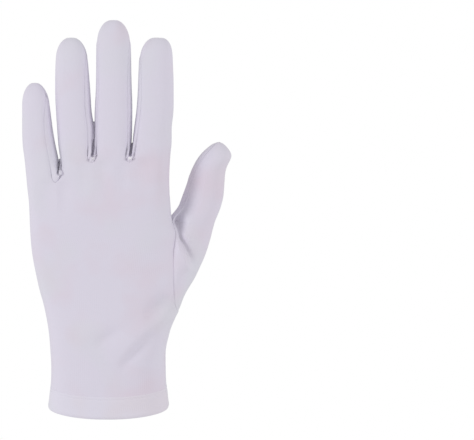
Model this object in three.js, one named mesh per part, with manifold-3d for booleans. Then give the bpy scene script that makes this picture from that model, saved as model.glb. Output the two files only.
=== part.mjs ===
// A white parade glove for the left hand, in the shape that it has when worn.
// Millimetres. +Z runs from the wrist to the fingertips, the back of the hand faces -Y and the thumb is at +X.
// The origin is the middle of the wrist opening, level with the lowest point of the hem.

import * as THREE from "three";
import { LoftGeometry } from "three/addons/geometries/LoftGeometry.js";
import { mergeGeometries, mergeVertices } from "three/addons/utils/BufferGeometryUtils.js";
import Module from "manifold-3d";

const wasm = await Module();
wasm.setup();

// Sizes that drive the glove
const gloveLength = 231; // lowest point of the hem to the middle fingertip
const palmBreadth = 84; // across the knuckles
const wristDepth = 43; // back to palm at the hem
const fingerBreadth = 20; // typical finger, side to side
const fingerDepth = 16.5; // typical finger, back to palm
const fingerCurl = 6; // how far the fingertips lean towards the palm
const curlStart = 0.443; // where they start to, as a share of gloveLength
const clothThickness = 1.2; // glove cloth, as worn
const hemHeight = 13.4; // turned-up band round the wrist
const hemThickness = 2; // two layers of cloth
const hemProud = 0.3; // the hem stands out past the cloth above it by this much
const hemArch = 2.6; // the hem's sides lie higher than its middle by this much
const seamGap = 0.3; // clearance between neighbouring pieces
const fourchetteBreadth = 11; // side strip of a finger, back seam to palm seam

// How finely the curved surfaces are cut into facets
const bodyFacets = 32;
const fingerFacets = 16;
const thumbFacets = 16;
const webFacets = 12;
const foldFacets = 8;
const bodyLevels = 13;
const fingerLevels = 6;
const domeLevels = 3;
const thumbLevels = 11;
const foldLevels = 7;
const splitLevels = 14;
const hemLevels = 6;
const hemLineSteps = 16;

// Cross-sections of the hand part, from below the hem to the knuckles.
// up is a share of gloveLength, left and right of palmBreadth, deep and rear of wristDepth. slope is how much
// each section climbs towards the index finger, as a share of the way across.
const bodyRows = [
  { up: -0.02, left: -0.425, right: 0.429, deep: 0.506, rear: 0, slope: 0 },
  { up: 0.035, left: -0.411, right: 0.418, deep: 0.5, rear: 0, slope: 0 },
  { up: 0.075, left: -0.397, right: 0.403, deep: 0.485, rear: 0, slope: 0 },
  { up: 0.117, left: -0.396, right: 0.396, deep: 0.477, rear: 0, slope: 0 },
  { up: 0.157, left: -0.403, right: 0.396, deep: 0.472, rear: 0, slope: 0 },
  { up: 0.198, left: -0.411, right: 0.422, deep: 0.467, rear: 0.005, slope: 0 },
  { up: 0.239, left: -0.425, right: 0.452, deep: 0.458, rear: 0.01, slope: 0 },
  { up: 0.28, left: -0.452, right: 0.467, deep: 0.444, rear: 0.015, slope: 0 },
  { up: 0.321, left: -0.488, right: 0.468, deep: 0.428, rear: 0.02, slope: 0 },
  { up: 0.362, left: -0.508, right: 0.468, deep: 0.41, rear: 0.025, slope: 0.02 },
  { up: 0.443, left: -0.541, right: 0.456, deep: 0.37, rear: 0.02, slope: 0.08 },
  { up: 0.525, left: -0.551, right: 0.433, deep: 0.32, rear: 0.01, slope: 0.17 },
  { up: 0.575, left: -0.56, right: 0.428, deep: 0.272, rear: 0, slope: 0.24 },
  { up: 0.6, left: -0.558, right: 0.422, deep: 0.243, rear: 0, slope: 0.27 },
  { up: 0.62, left: -0.535, right: 0.405, deep: 0.205, rear: 0, slope: 0.29 },
];
const bodySquareness = 2.5;

// The four fingers. across is a share of palmBreadth. slot, where the finger comes free, and tip are shares of
// gloveLength. wide and narrow, shares of fingerBreadth, are its breadth at the slot and near the tip, and
// deep is a share of fingerDepth. lean is how far the tip stands to the right of the slot, and bow how far the
// middle stands to the left of that line, in shares of palmBreadth. roll, in degrees, turns the finger's right
// side towards -Y.
const fingers = [
  {
    name: "little", across: -0.456, slot: 0.602, tip: 0.841,
    wide: 0.97, narrow: 0.81, deep: 0.92, lean: -0.05, bow: 0.009, roll: 20,
  },
  {
    name: "ring", across: -0.213, slot: 0.63, tip: 0.958,
    wide: 1.02, narrow: 0.96, deep: 1, lean: -0.035, bow: 0.011, roll: 11,
  },
  {
    name: "middle", across: 0.0375, slot: 0.655, tip: 1,
    wide: 1.06, narrow: 1, deep: 1.04, lean: 0.005, bow: 0, roll: 3,
  },
  {
    name: "index", across: 0.304, slot: 0.655, tip: 0.958,
    wide: 1.09, narrow: 0.97, deep: 1.03, lean: 0.034, bow: -0.0135, roll: -6,
  },
];

// Shape along a finger. free is 0 at the slot and 1 at the tip. wide and deep are shares of the finger's own
// size, and taper goes from 0 where it has its full breadth to 1 where it is as narrow as near the tip.
const fingerRows = [
  { free: -0.36, wide: 0.9, deep: 1.3, taper: 0 },
  { free: -0.14, wide: 0.96, deep: 1.24, taper: 0 },
  { free: 0, wide: 1, deep: 1.12, taper: 0 },
  { free: 0.3, wide: 1.01, deep: 1.03, taper: 0.1 },
  { free: 0.55, wide: 1, deep: 0.99, taper: 0.5 },
  { free: 0.82, wide: 1, deep: 0.94, taper: 1 },
  { free: 1, wide: 0.98, deep: 0.92, taper: 1.05 },
];
const fingerSquareness = 2.15;
const tipDome = 0.66; // length of the rounded tip, as a share of fingerBreadth
const domeSquareness = 2.3; // 2 is a quarter of an ellipse
const splitReach = 0.46; // half of each finger's stretch of the split of back and palm, in fingerBreadths
const domeStop = 80; // degrees of the dome's quarter circle that the last ring stands at

// Breadth of a side strip up its finger, as a share of fourchetteBreadth. free is 0 at the slot and 1 at the
// tip.
const stripRows = [
  { free: 0.25, breadth: 1 },
  { free: 0.6, breadth: 0.86 },
  { free: 0.84, breadth: 0.12 },
];
const floorHalf = 2 * clothThickness; // half height of the strips' shared floor in a slot
const floorBreadth = 0.5; // and how broad it is, in fingerBreadths

// The cloth between two fingers. left and right name the fingers, across and up say where the slot ends.
const webs = [
  { name: "fourchette_ring_little", left: "little", right: "ring", across: -0.335, up: 0.602 },
  { name: "fourchette_middle_ring", left: "ring", right: "middle", across: -0.094, up: 0.655 },
  { name: "fourchette_index_middle", left: "middle", right: "index", across: 0.166, up: 0.655 },
];

// Shape of the web below a slot. below is a share of palmBreadth, wide of fingerBreadth, deep of fingerDepth.
const webRows = [
  { below: 0.24, wide: 0.3, deep: 0.6 },
  { below: 0.13, wide: 0.42, deep: 0.57 },
  { below: 0.05, wide: 0.46, deep: 0.51 },
  { below: 0.015, wide: 0.46, deep: 0.43 },
  { below: 0, wide: 0.44, deep: 0.34 },
];
const webSquareness = 2.6;

// Cross-sections of the thumb. up is a share of gloveLength, inner and outer are shares of palmBreadth, and
// deep and rear are shares of wristDepth.
const thumbRows = [
  { up: 0.215, inner: 0.26, outer: 0.41, deep: 0.22, rear: 0.1 },
  { up: 0.239, inner: 0.23, outer: 0.449, deep: 0.28, rear: 0.12 },
  { up: 0.28, inner: 0.21, outer: 0.515, deep: 0.335, rear: 0.14 },
  { up: 0.321, inner: 0.223, outer: 0.571, deep: 0.35, rear: 0.165 },
  { up: 0.362, inner: 0.257, outer: 0.627, deep: 0.345, rear: 0.185 },
  { up: 0.403, inner: 0.306, outer: 0.675, deep: 0.32, rear: 0.2 },
  { up: 0.443, inner: 0.362, outer: 0.704, deep: 0.29, rear: 0.21 },
  { up: 0.485, inner: 0.418, outer: 0.738, deep: 0.265, rear: 0.22 },
  { up: 0.525, inner: 0.488, outer: 0.78, deep: 0.247, rear: 0.232 },
  { up: 0.566, inner: 0.536, outer: 0.801, deep: 0.24, rear: 0.24 },
  { up: 0.607, inner: 0.571, outer: 0.81, deep: 0.235, rear: 0.248 },
  { up: 0.64, inner: 0.606, outer: 0.84, deep: 0.225, rear: 0.254 },
];
const thumbTip = 0.693; // share of gloveLength
const thumbTipAcross = 0.765; // share of palmBreadth
const thumbSquareness = 2.15;

// The seam that lets the thumb into the hand, from the fork between thumb and index finger down to the wrist
// side. back and palm are shares of palmBreadth, for the seam as it runs on each side. up is a share of
// gloveLength.
const thumbSeamRows = [
  { up: 0.505, back: 0.447, palm: 0.447 },
  { up: 0.47, back: 0.459, palm: 0.39 },
  { up: 0.43, back: 0.466, palm: 0.32 },
  { up: 0.38, back: 0.464, palm: 0.262 },
  { up: 0.33, back: 0.46, palm: 0.25 },
  { up: 0.3, back: 0.464, palm: 0.28 },
  { up: 0.278, back: 0.482, palm: 0.345 },
  { up: 0.262, back: 0.51, palm: 0.44 },
];

const forkOpening = 0.05; // lean of that line away from the index finger above the fork, in palmBreadths
const forkLineTop = 0.8; // where it ends, as a share of gloveLength

// How far round to its palm side that seam has gone at a depth. deep is a share of wristDepth.
const thumbSeamLayers = [
  { deep: -1, round: 0 },
  { deep: -0.1, round: 0 },
  { deep: 0.25, round: 0.55 },
  { deep: 0.7, round: 1 },
  { deep: 1.2, round: 1 },
];

// Folds of the worn cloth on the back of the hand. Each runs from one end to the other, across as a share of
// palmBreadth and up of gloveLength. wide and tall are half sizes in shares of palmBreadth. tall below 0 is a
// dent.
const folds = [
  { from: { across: 0.33, up: 0.225 }, to: { across: 0.06, up: 0.125 }, wide: 0.06, tall: -0.017 },
  { from: { across: 0.26, up: 0.255 }, to: { across: 0.0, up: 0.155 }, wide: 0.07, tall: 0.012 },
  { from: { across: 0.1, up: 0.255 }, to: { across: -0.12, up: 0.2 }, wide: 0.055, tall: -0.012 },
  { from: { across: 0.37, up: 0.38 }, to: { across: 0.31, up: 0.24 }, wide: 0.08, tall: -0.014 },
];
const foldEnd = 0.15; // size of a fold at its ends, as a share of its size in the middle

// The stretched ridge from the fork down over the base of the thumb, as shares of palmBreadth and gloveLength.
const ridgeRows = [
  { across: 0.435, up: 0.505, deep: -0.01, wide: 0.03 },
  { across: 0.482, up: 0.462, deep: -0.02, wide: 0.065 },
  { across: 0.53, up: 0.415, deep: -0.012, wide: 0.083 },
  { across: 0.542, up: 0.37, deep: 0.015, wide: 0.07 },
  { across: 0.52, up: 0.325, deep: 0.08, wide: 0.05 },
];

const clothColour = "#e3dfe9";
const hemColour = "#e6e3ec";
const clothRoughness = 0.85;

const mergeDistance = 0.001;
const facetTolerance = 0.02; // facets flatter than this against each other become one
const far = 150; // reaches past the glove on every side
const margin = 1; // a cutting body ends this far outside what it cuts

// Value of each column at a place between the rows, on a smooth curve through them.
function columnsAt(rows, place, value) {
  const names = Object.keys(rows[0]).filter((name) => name !== place);
  const places = rows.map((row) => row[place]);
  const samples = rows.flatMap((row) => names.map((name) => row[name]));
  const curve = new THREE.CubicInterpolant(places, samples, names.length);
  const found = curve.evaluate(value);
  return Object.fromEntries(names.map((name, i) => [name, found[i]]));
}

// Only the corners and faces of a geometry, which is all that a solid needs.
function bareGeometry(positions, faces) {
  const geometry = new THREE.BufferGeometry();
  geometry.setAttribute("position", positions);
  geometry.setIndex(faces);
  return geometry;
}

function solidOf(geometry) {
  const bare = bareGeometry(geometry.getAttribute("position"), geometry.getIndex());
  const merged = mergeVertices(bare, mergeDistance);
  const vertProperties = merged.attributes.position.array;
  const triVerts = new Uint32Array(merged.index.array);
  return new wasm.Manifold(new wasm.Mesh({ numProp: 3, vertProperties, triVerts }));
}

// Closes a ring of points with a fan round its middle.
function capGeometry(points, upwards) {
  const middle = new THREE.Vector3();
  points.forEach((point) => middle.addScaledVector(point, 1 / points.length));
  const corners = [middle, ...points].flatMap((point) => point.toArray());
  const faces = points.flatMap((_, i) => {
    const edge = [1 + i, 1 + ((i + 1) % points.length)];
    return [0, ...(upwards ? edge : edge.reverse())];
  });
  return bareGeometry(new THREE.Float32BufferAttribute(corners, 3), faces);
}

// The solid through a row of rings, each of them counter-clockwise when seen from the last ring's side.
function loft(sections) {
  const skin = new LoftGeometry(sections);
  const parts = [
    bareGeometry(skin.getAttribute("position"), skin.getIndex()),
    capGeometry(sections[0], false),
    capGeometry(sections[sections.length - 1], true),
  ];
  return solidOf(mergeGeometries(parts));
}

function union(solids) {
  return solids.reduce((sum, solid) => sum.add(solid));
}

// A ring between a circle and a rounded box. roll turns it about +Z, and slope makes it climb towards +X.
function ring({ x, y, z, halfWide, halfDeep, squareness, facets, roll = 0, slope = 0 }) {
  const power = 2 / squareness;
  const points = [];
  for (let i = 0; i < facets; i++) {
    const angle = (2 * Math.PI * i) / facets;
    const c = Math.cos(angle);
    const s = Math.sin(angle);
    const point = new THREE.Vector3(
      halfWide * Math.sign(c) * Math.abs(c) ** power,
      halfDeep * Math.sign(s) * Math.abs(s) ** power,
      0,
    );
    point.applyAxisAngle(new THREE.Vector3(0, 0, 1), roll);
    point.z = slope * point.x;
    points.push(point.add(new THREE.Vector3(x, y, z)));
  }
  return points;
}

function share(i, count) {
  return i / (count - 1);
}

// Rings of a rounded tip: how far each has risen, and its size, as shares.
function domeRings() {
  const rings = [];
  for (let i = 1; i <= domeLevels; i++) {
    const angle = THREE.MathUtils.degToRad((domeStop * i) / domeLevels);
    const power = 2 / domeSquareness;
    rings.push({ rise: Math.sin(angle) ** power, scale: Math.cos(angle) ** power });
  }
  return rings;
}

// How far the middle of the hand and fingers stands towards the palm at a height.
function curlAt(z) {
  const start = curlStart * gloveLength;
  const bend = Math.max(0, z - start) / (gloveLength - start);
  return fingerCurl * bend ** 2;
}

function bodyAt(z) {
  const row = columnsAt(bodyRows, "up", z / gloveLength);
  return {
    x: (palmBreadth * (row.left + row.right)) / 2,
    y: wristDepth * row.rear,
    halfWide: (palmBreadth * (row.right - row.left)) / 2,
    halfDeep: wristDepth * row.deep,
    slope: row.slope,
  };
}

function bodySolid(inset, from, to, levels) {
  const sections = [];
  for (let i = 0; i < levels; i++) {
    const z = THREE.MathUtils.lerp(from, to, share(i, levels));
    const at = bodyAt(z);
    sections.push(
      ring({
        ...at,
        z,
        halfWide: at.halfWide - inset,
        halfDeep: at.halfDeep - inset,
        squareness: bodySquareness,
        facets: bodyFacets,
      }),
    );
  }
  return loft(sections);
}

function fingerAt(finger, free) {
  const row = columnsAt(fingerRows, "free", Math.min(free, 1));
  const slot = finger.slot * gloveLength;
  const z = slot + free * (finger.tip * gloveLength - slot);
  const bulge = 4 * free * (1 - free); // 1 half way up and 0 at both ends
  const lean = finger.lean * free - finger.bow * bulge;
  return {
    x: palmBreadth * (finger.across + lean),
    y: curlAt(z),
    z,
    halfWide: (fingerBreadth * row.wide * THREE.MathUtils.lerp(finger.wide, finger.narrow, row.taper)) / 2,
    halfDeep: (fingerDepth * finger.deep * row.deep) / 2,
    roll: -THREE.MathUtils.degToRad(finger.roll),
  };
}

// A finger with a rounded tip. inset makes the smaller one that hollows it.
function fingerSolid(finger, inset) {
  const length = (finger.tip - finger.slot) * gloveLength;
  const dome = tipDome * fingerBreadth;
  const straight = 1 - dome / length;
  const buried = fingerRows[0].free;
  const sections = [];
  const place = (free, scale) => {
    const at = fingerAt(finger, free);
    sections.push(
      ring({
        ...at,
        z: at.z - (free > straight ? ((free - straight) / (1 - straight)) * inset : 0),
        halfWide: (at.halfWide - inset) * scale,
        halfDeep: (at.halfDeep - inset) * scale,
        squareness: fingerSquareness,
        facets: fingerFacets,
      }),
    );
  };
  for (let i = 0; i < fingerLevels; i++) {
    place(THREE.MathUtils.lerp(buried, straight, share(i, fingerLevels)), 1);
  }
  for (const { rise, scale } of domeRings()) {
    place(straight + (1 - straight) * rise, scale);
  }
  return loft(sections);
}

function webSolid(web, inset) {
  const rows = webRows.map((row) => {
    const z = web.up * gloveLength - row.below * palmBreadth - inset;
    return ring({
      x: web.across * palmBreadth,
      y: curlAt(z),
      z,
      halfWide: row.wide * fingerBreadth - inset,
      halfDeep: row.deep * fingerDepth - inset,
      squareness: webSquareness,
      facets: webFacets,
    });
  });
  return loft(rows);
}

function thumbSolid(inset) {
  const first = thumbRows[0].up;
  const last = thumbRows[thumbRows.length - 1].up;
  const sections = [];
  const place = (row, up, scale, drop) => {
    const middle = (row.inner + row.outer) / 2;
    sections.push(
      ring({
        x: palmBreadth * THREE.MathUtils.lerp(thumbTipAcross, middle, scale),
        y: wristDepth * row.rear,
        z: gloveLength * up - drop,
        halfWide: ((palmBreadth * (row.outer - row.inner)) / 2 - inset) * scale,
        halfDeep: (wristDepth * row.deep - inset) * scale,
        squareness: thumbSquareness,
        facets: thumbFacets,
      }),
    );
  };
  for (let i = 0; i < thumbLevels; i++) {
    const up = THREE.MathUtils.lerp(first, last, share(i, thumbLevels));
    place(columnsAt(thumbRows, "up", up), up, 1, 0);
  }
  const end = thumbRows[thumbRows.length - 1];
  for (const { rise, scale } of domeRings()) {
    place(end, last + (thumbTip - last) * rise, scale, inset * rise);
  }
  return loft(sections);
}

// Where the back of the hand lies at a place on it.
function backSurface(x, z) {
  const at = bodyAt(z);
  const sideways = Math.min(1, Math.abs(x - at.x) / at.halfWide);
  return at.y - at.halfDeep * (1 - sideways ** bodySquareness) ** (1 / bodySquareness);
}

// A long flat lens at the back of the hand, which cuts or raises the cloth by the fold's tall. A dent's lens
// lies outside the surface and a raised fold's inside it, so both meet the cloth at a low angle.
function foldSolid(fold, grow) {
  const start = new THREE.Vector2(fold.from.across * palmBreadth, fold.from.up * gloveLength);
  const end = new THREE.Vector2(fold.to.across * palmBreadth, fold.to.up * gloveLength);
  const along = end.clone().sub(start).normalize();
  const sections = [];
  for (let i = 0; i < foldLevels; i++) {
    const t = share(i, foldLevels);
    const swell = Math.max(foldEnd, Math.sin(Math.PI * t));
    const middle = start.clone().lerp(end, t);
    const points = [];
    for (let j = 0; j < foldFacets; j++) {
      const angle = (2 * Math.PI * j) / foldFacets;
      const aside = (fold.wide * palmBreadth * swell + grow) * Math.cos(angle);
      const shift = fold.tall * palmBreadth * swell;
      const out = (2 * Math.abs(shift) + grow) * Math.sin(angle) - shift;
      const x = middle.x - along.y * aside;
      const z = middle.y + along.x * aside;
      points.push(new THREE.Vector3(x, backSurface(x, z) - out, z));
    }
    sections.push(points);
  }
  return loft(sections);
}

function ridgeSolid(inset) {
  const sections = ridgeRows.map((row) =>
    ring({
      x: row.across * palmBreadth,
      y: row.deep * palmBreadth,
      z: row.up * gloveLength,
      halfWide: row.wide * palmBreadth - inset,
      halfDeep: row.wide * palmBreadth - inset,
      squareness: thumbSquareness,
      facets: webFacets,
    }),
  );
  return loft(sections.reverse());
}

// The whole hand as one solid. inset 0 is the outside, and the cloth's thickness gives the hollow.
function handSolid(inset) {
  const top = bodyRows[bodyRows.length - 1].up * gloveLength;
  const bottom = bodyRows[0].up * gloveLength;
  const plain = union([
    bodySolid(inset, bottom, top - inset, bodyLevels),
    ...fingers.map((finger) => fingerSolid(finger, inset)),
    ...webs.map((web) => webSolid(web, inset)),
    thumbSolid(inset),
    ridgeSolid(inset),
  ]);
  return folds.reduce((solid, fold) => {
    if (fold.tall < 0) return solid.subtract(foldSolid(fold, inset));
    return inset ? solid : solid.add(foldSolid(fold, 0));
  }, plain);
}

// Height of the hem's edge at a place across the wrist, lowest in the middle.
function hemEdge(x) {
  const halfWide = bodyAt(0).halfWide;
  return hemArch * (x / halfWide) ** 2;
}

// Everything above a line that follows the hem's edge at a height.
function aboveHemLine(height) {
  const half = palmBreadth;
  const outline = new THREE.Shape();
  outline.moveTo(half, 2 * gloveLength);
  outline.lineTo(-half, 2 * gloveLength);
  for (let i = 0; i <= hemLineSteps; i++) {
    const x = THREE.MathUtils.lerp(-half, half, i / hemLineSteps);
    outline.lineTo(x, height + hemEdge(x));
  }
  const slab = new THREE.ExtrudeGeometry(outline, { depth: 2 * far, bevelEnabled: false });
  slab.rotateX(Math.PI / 2);
  slab.translate(0, far, 0);
  return solidOf(slab);
}

// Where the back panel ends and the palm panel begins at a height: a line of points from left to right,
// through the sides of each finger, turned with the finger.
function splitLine(z) {
  const line = [new THREE.Vector2(-far, 0)];
  for (const finger of fingers) {
    const slot = finger.slot * gloveLength;
    const tip = finger.tip * gloveLength;
    const free = (z - slot) / (tip - slot);
    const turned = THREE.MathUtils.smoothstep(free, fingerRows[0].free, 0);
    const at = fingerAt(finger, THREE.MathUtils.clamp(free, fingerRows[0].free, 1));
    const slope = turned * Math.tan(at.roll);
    for (const side of [-1, 1]) {
      const reach = side * splitReach * fingerBreadth;
      line.push(new THREE.Vector2(at.x + reach, curlAt(z) + reach * slope));
    }
  }
  line.push(new THREE.Vector2(far, 0));
  line[0].y = line[1].y;
  line[line.length - 1].y = line[line.length - 2].y;
  return line;
}

// Everything on the back side of the split, moved towards the palm by shift.
function backSide(shift) {
  const heights = [-far, 0];
  for (let i = 0; i < splitLevels; i++) {
    heights.push(THREE.MathUtils.lerp(curlStart * gloveLength, gloveLength + margin, share(i, splitLevels)));
  }
  const sections = heights.map((z) => {
    const line = splitLine(z).map((point) => new THREE.Vector3(point.x, point.y + shift, z));
    return [new THREE.Vector3(-far, -far, z), new THREE.Vector3(far, -far, z), ...line.reverse()];
  });
  return loft(sections);
}

// One side strip's space on a finger, from the slot up to where the strip runs out near the tip.
function stripSolid(finger, side, web, grow) {
  const length = (finger.tip - finger.slot) * gloveLength;
  const start = (web.up - finger.slot) * gloveLength - floorHalf - grow;
  const rows = [{ free: start / length, breadth: stripRows[0].breadth }, ...stripRows];
  const sections = rows.map((row, i) => {
    const beyond = i === rows.length - 1 ? grow / length : 0;
    const at = fingerAt(finger, row.free + beyond);
    const half = (fourchetteBreadth * row.breadth) / 2 + grow;
    const reach = side * (at.halfWide + seamGap + grow);
    const corners = [
      new THREE.Vector3(0, -half, 0),
      new THREE.Vector3(reach, -half, 0),
      new THREE.Vector3(reach, half, 0),
      new THREE.Vector3(0, half, 0),
    ];
    if (side < 0) corners.reverse();
    return corners.map((corner) =>
      corner.applyAxisAngle(new THREE.Vector3(0, 0, 1), at.roll).add(new THREE.Vector3(at.x, at.y, at.z)),
    );
  });
  return loft(sections);
}

function fourchetteSpace(web, grow) {
  const named = (name) => fingers.find((finger) => finger.name === name);
  const z = web.up * gloveLength;
  const bottom = new THREE.BoxGeometry(
    floorBreadth * fingerBreadth + 2 * grow,
    fourchetteBreadth + 2 * grow,
    2 * floorHalf + 2 * grow,
  ).translate(web.across * palmBreadth, curlAt(z), z);
  return union([
    stripSolid(named(web.left), 1, web, grow),
    stripSolid(named(web.right), -1, web, grow),
    solidOf(bottom),
  ]);
}

// The thumb's side of its seam. The seam moves over from the back to the palm as it goes round the hand.
function thumbSpace(grow) {
  const reach = 2 * palmBreadth;
  const top = forkLineTop * gloveLength;
  const fork = thumbSeamRows[0];
  const sections = thumbSeamLayers.map((layer) => {
    const y = wristDepth * layer.deep;
    const seam = thumbSeamRows.map((row) => {
      const x = palmBreadth * THREE.MathUtils.lerp(row.back, row.palm, layer.round) - grow;
      return new THREE.Vector3(x, y, gloveLength * row.up);
    });
    const end = seam[seam.length - 1];
    return [
      new THREE.Vector3(reach, y, top),
      new THREE.Vector3(reach, y, end.z - grow),
      ...seam.reverse(),
      new THREE.Vector3(palmBreadth * (fork.back + forkOpening) - grow, y, top),
    ];
  });
  return loft(sections);
}

function hemSolid() {
  const bottom = bodyRows[0].up * gloveLength;
  const top = hemHeight + 2 * hemArch; // clear of the arched edge
  const outside = bodySolid(-hemProud, bottom, top, hemLevels);
  const inside = bodySolid(hemThickness - hemProud, bottom - margin, top + margin, hemLevels);
  return outside.subtract(inside).intersect(aboveHemLine(0)).subtract(aboveHemLine(hemHeight));
}

function pieceOf(name, solid, colour) {
  const { vertProperties, triVerts } = solid.simplify(facetTolerance).getMesh();
  const geometry = new THREE.BufferGeometry();
  geometry.setAttribute("position", new THREE.BufferAttribute(new Float32Array(vertProperties), 3));
  geometry.setIndex(new THREE.BufferAttribute(new Uint32Array(triVerts), 1));
  geometry.computeVertexNormals();
  const material = new THREE.MeshStandardMaterial({ color: colour, roughness: clothRoughness, metalness: 0 });
  const piece = new THREE.Mesh(geometry, material);
  piece.name = name;
  return piece;
}

const glove = new THREE.Group();
glove.name = "glove";

const cloth = handSolid(0)
  .subtract(handSolid(clothThickness))
  .intersect(aboveHemLine(hemHeight + seamGap));

const thumb = cloth.intersect(thumbSpace(0));
glove.add(pieceOf("thumb", thumb, clothColour));

let rest = cloth.subtract(thumbSpace(seamGap));
for (const web of webs) {
  glove.add(pieceOf(web.name, rest.intersect(fourchetteSpace(web, 0)), clothColour));
  rest = rest.subtract(fourchetteSpace(web, seamGap));
}

glove.add(pieceOf("back_panel", rest.intersect(backSide(-seamGap / 2)), clothColour));
glove.add(pieceOf("palm_panel", rest.subtract(backSide(seamGap / 2)), clothColour));
glove.add(pieceOf("hem", hemSolid(), hemColour));

export default glove;
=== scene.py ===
import bisect
import math

import bmesh
import bpy
from mathutils import Matrix, Vector, noise


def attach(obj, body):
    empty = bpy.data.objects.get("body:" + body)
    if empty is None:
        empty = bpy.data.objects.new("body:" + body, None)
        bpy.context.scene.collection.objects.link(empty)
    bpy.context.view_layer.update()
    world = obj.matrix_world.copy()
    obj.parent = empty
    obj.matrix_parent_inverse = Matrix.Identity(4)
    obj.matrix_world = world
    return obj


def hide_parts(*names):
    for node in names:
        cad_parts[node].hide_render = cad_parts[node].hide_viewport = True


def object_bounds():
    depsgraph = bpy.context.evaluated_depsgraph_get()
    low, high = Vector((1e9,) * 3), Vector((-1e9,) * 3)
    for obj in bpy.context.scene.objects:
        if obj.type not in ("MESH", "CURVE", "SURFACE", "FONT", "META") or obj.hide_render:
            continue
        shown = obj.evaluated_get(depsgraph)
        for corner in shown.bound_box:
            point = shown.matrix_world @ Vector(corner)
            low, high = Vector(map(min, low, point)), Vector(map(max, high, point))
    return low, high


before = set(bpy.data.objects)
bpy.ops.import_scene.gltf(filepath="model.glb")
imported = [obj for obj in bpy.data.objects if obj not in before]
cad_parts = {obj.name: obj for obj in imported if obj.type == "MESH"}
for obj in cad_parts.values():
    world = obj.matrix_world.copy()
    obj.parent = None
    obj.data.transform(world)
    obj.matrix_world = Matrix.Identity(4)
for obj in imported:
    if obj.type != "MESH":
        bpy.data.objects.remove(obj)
cadLow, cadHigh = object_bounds()

gloveHeight = 230.8  # hem to middle fingertip, in the millimetres that this script counts in
mm = (cadHigh.z - cadLow.z) / gloveHeight
back, palm = -1, 1  # the two faces of the hand


# Numbers and curves

def curve(points, place):  # smooth value through (place, value) pairs
    if place <= points[0][0]:
        return points[0][1]
    if place >= points[-1][0]:
        return points[-1][1]
    i = bisect.bisect_right(points, (place, math.inf)) - 1

    def slope(k):
        before, after = max(k - 1, 0), min(k + 1, len(points) - 1)
        return (points[after][1] - points[before][1]) / (points[after][0] - points[before][0])

    (start, low), (end, high) = points[i], points[i + 1]
    span = end - start
    t = (place - start) / span
    return (
        low * (1 + 2 * t) * (1 - t) ** 2
        + slope(i) * span * t * (1 - t) ** 2
        + high * t * t * (3 - 2 * t)
        - slope(i + 1) * span * t * t * (1 - t)
    )


def smooth(t):
    t = min(1, max(0, t))
    return t * t * (3 - 2 * t)


def over(value, start, length):  # eases from 0 to 1 over a length
    return smooth((value - start) / length)


def blend(a, b, t):
    return a + (b - a) * t


def power(value, exponent):
    return math.copysign(abs(value) ** exponent, value)


def evenSteps(start, end, size):
    count = max(1, round((end - start) / size))
    return [blend(start, end, k / count) for k in range(count + 1)]


def easedSteps(start, length, count):  # close together at the start
    return [start + length * (k / count) ** 2 for k in range(count + 1)]


# A spot is a point on the cloth and the way it faces there
def mixSpots(a, b, t):
    return a[0].lerp(b[0], t), a[1].lerp(b[1], t)


def movedBy(spot, other, base, share):  # pulls a spot by the difference of two others
    return spot[0] + (other[0] - base[0]) * share, spot[1] + (other[1] - base[1]) * share


def lifted(spot, height):
    return spot[0] + spot[1].normalized() * height


# The hand part, in millimetres from the hem's lowest point
hand = {
    "left": [(-5, -36.4), (8, -35.2), (17, -34.2), (27, -33.8), (36, -34.2), (46, -34.9), (55, -36.2),
             (65, -38.3), (74, -40.7), (84, -42.6), (93, -44.1), (102, -45), (112, -45.5), (121, -45.8),
             (131, -46.4), (140, -47.4), (150, -48.5)],
    "right": [(-5, 35.4), (8, 34.3), (17, 33.4), (27, 33), (36, 33.2), (46, 35.3), (55, 38.2),
              (61, 41.3), (66, 43.3), (76, 45), (88, 45), (100, 43.6), (106, 41.7), (109, 40),
              (112.8, 37.9), (118, 36.9), (125, 36.5), (131, 36.3), (150, 36.3)],
    "halfDepth": [(-5, 21.7), (8, 21.5), (27, 20.6), (45, 19.8), (64, 19), (84, 17.8), (102, 16),
                  (121, 14), (133, 12), (142, 10.8), (150, 9.8)],
    "middle": [(45, 0), (64, 0.7), (84, 1.1), (102, 0.9), (121, 0.4), (133, 0)],
    "top": 150,  # where the tables end. Above it the cloth follows the fingers
    "squareness": 2.5,
    "curlStart": 102,
    "curlEnd": 231,
    "curl": 6,
}


def facedAngle(around):  # past 90 degrees the palm side begins
    return (around, back) if around <= 90 else (180 - around, palm)


def curlAt(z):
    return hand["curl"] * max(0, (z - hand["curlStart"]) / (hand["curlEnd"] - hand["curlStart"])) ** 2


def handSection(z):
    left, right = curve(hand["left"], z), curve(hand["right"], z)
    middle = curve(hand["middle"], z) + curlAt(z)
    return (left + right) / 2, (right - left) / 2, curve(hand["halfDepth"], z), middle


def handAngle(x, z):  # where a place across the hand lies, from -90 at its left side to 90 at its right
    centre, halfWide, _, _ = handSection(z)
    share = min(1, max(-1, (x - centre) / halfWide))
    return math.degrees(math.asin(power(share, hand["squareness"] / 2)))


def ovalFacing(s, c, face, sharp, halfWide, halfDeep):
    return Vector((power(s, 2 - sharp) / halfWide, face * abs(c) ** (2 - sharp) / halfDeep, 0)).normalized()


def handSpot(angle, z, face):
    centre, halfWide, halfDeep, middle = handSection(z)
    s, c = math.sin(math.radians(angle)), math.cos(math.radians(angle))
    sharp = 2 / hand["squareness"]
    point = Vector((centre + halfWide * power(s, sharp), middle + face * halfDeep * power(c, sharp), z))
    return point, ovalFacing(s, c, face, sharp, halfWide, halfDeep)


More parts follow.
